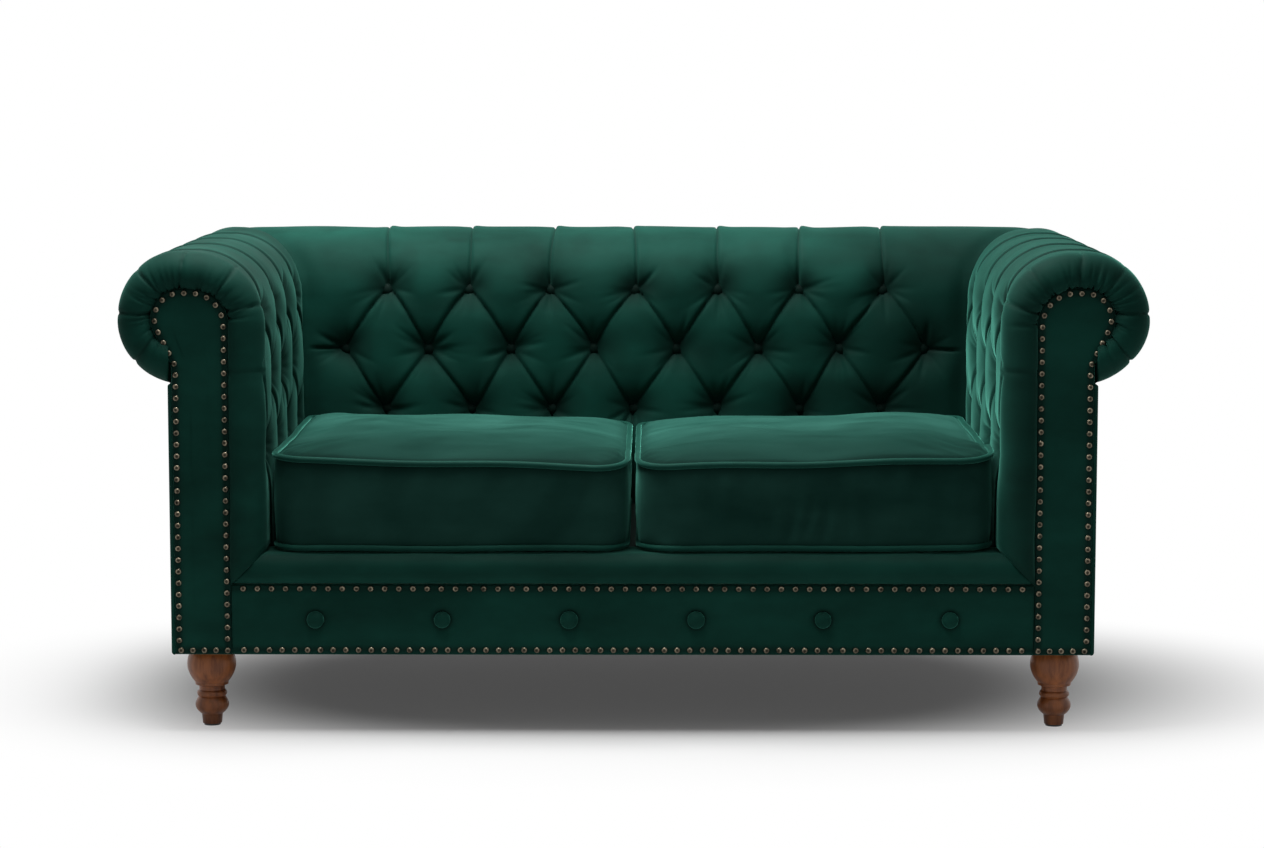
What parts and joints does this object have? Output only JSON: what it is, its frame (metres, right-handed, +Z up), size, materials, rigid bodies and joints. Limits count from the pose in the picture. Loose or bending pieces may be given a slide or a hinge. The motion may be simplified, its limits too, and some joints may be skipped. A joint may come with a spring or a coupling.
{
  "type": "two-seater sofa",
  "caption": "Button-tufted two-seater sofa with rolled arms and back of one height, nail-trimmed facings, loose piped seat cushions and turned wooden feet.",
  "frame": {"origin": "floor under the middle of the sofa's bounding box", "axes": "+X along the sofa to the right as seen from the front, -Y out of the front, +Z up"},
  "size_m": [1.59, 0.85, 0.746],
  "materials": {
    "velvet": "deep green velvet with a soft sheen",
    "timber": "planed softwood",
    "plywood": "bare plywood",
    "hardboard": "pressed board",
    "steel": "bright wire and zinc-plated steel",
    "cloth": "black lining cloth",
    "foam": "cream foam",
    "bronze": "antique bronze, rubbed bright on the crowns",
    "turned_wood": "red-brown stained hardwood, satin varnish",
    "nylon": "moulded nylon"
  },
  "bodies": {
    "frame": {"back_pad": "velvet", "arm_pad_left": "velvet", "arm_pad_right": "velvet", "back_buttons": "velvet", "arm_buttons_left": "velvet", "arm_buttons_right": "velvet", "outside_arm_left": "velvet", "outside_arm_right": "velvet", "outside_back": "velvet", "arm_facing_left": "velvet", "arm_facing_right": "velvet", "rail_cover": "velvet", "rail_buttons": "velvet", "front_border": "velvet", "front_rail": "timber", "back_rail": "timber", "side_rails": "timber", "centre_stretcher": "timber", "corner_blocks": "timber", "rear_corner_posts": "timber", "arm_top_rails": "timber", "arm_roll_slats": "timber", "arm_tack_rails": "timber", "back_top_rail": "timber", "back_roll_slat": "timber", "back_tack_rail": "timber", "back_centre_post": "timber", "arm_front_panel_left": "plywood", "arm_front_panel_right": "plywood", "arm_rear_panels": "plywood", "back_end_panels": "plywood", "arm_inner_boards": "hardboard", "back_inner_board": "hardboard", "seat_springs": "steel", "spring_clips": "steel", "foot_bolts": "steel", "tee_nuts": "steel", "deck_cloth": "cloth", "dust_cover": "cloth", "tufting_twine": "cloth", "deck_pad": "foam", "facing_nails_left": "bronze", "facing_nails_right": "bronze", "rail_nails": "bronze", "foot_front_left": "turned_wood", "foot_front_right": "turned_wood", "foot_rear_left": "turned_wood", "foot_rear_right": "turned_wood", "foot_glides": "nylon"},
    "left_cushion": {"cushion_cover_left": "velvet", "cushion_core_left": "foam", "cushion_piping_left": "velvet", "zip_tape_left": "cloth"},
    "left_zip_slider": {"zip_slider_left": "steel"},
    "right_cushion": {"cushion_cover_right": "velvet", "cushion_core_right": "foam", "cushion_piping_right": "velvet", "zip_tape_right": "cloth"},
    "right_zip_slider": {"zip_slider_right": "steel"}
  },
  "joints": [
    {"name": "left_cushion_lift", "type": "slide", "parent": "frame", "child": "left_cushion", "axis": [0, 0, 1], "range_m": [0, 0.47]},
    {"name": "left_zip", "type": "slide", "parent": "left_cushion", "child": "left_zip_slider", "axis": [1, 0, 0], "range_m": [0, 0.39]},
    {"name": "right_cushion_lift", "type": "slide", "parent": "frame", "child": "right_cushion", "axis": [0, 0, 1], "range_m": [0, 0.47]},
    {"name": "right_zip", "type": "slide", "parent": "right_cushion", "child": "right_zip_slider", "axis": [-1, 0, 0], "range_m": [0, 0.39]}
  ]
}
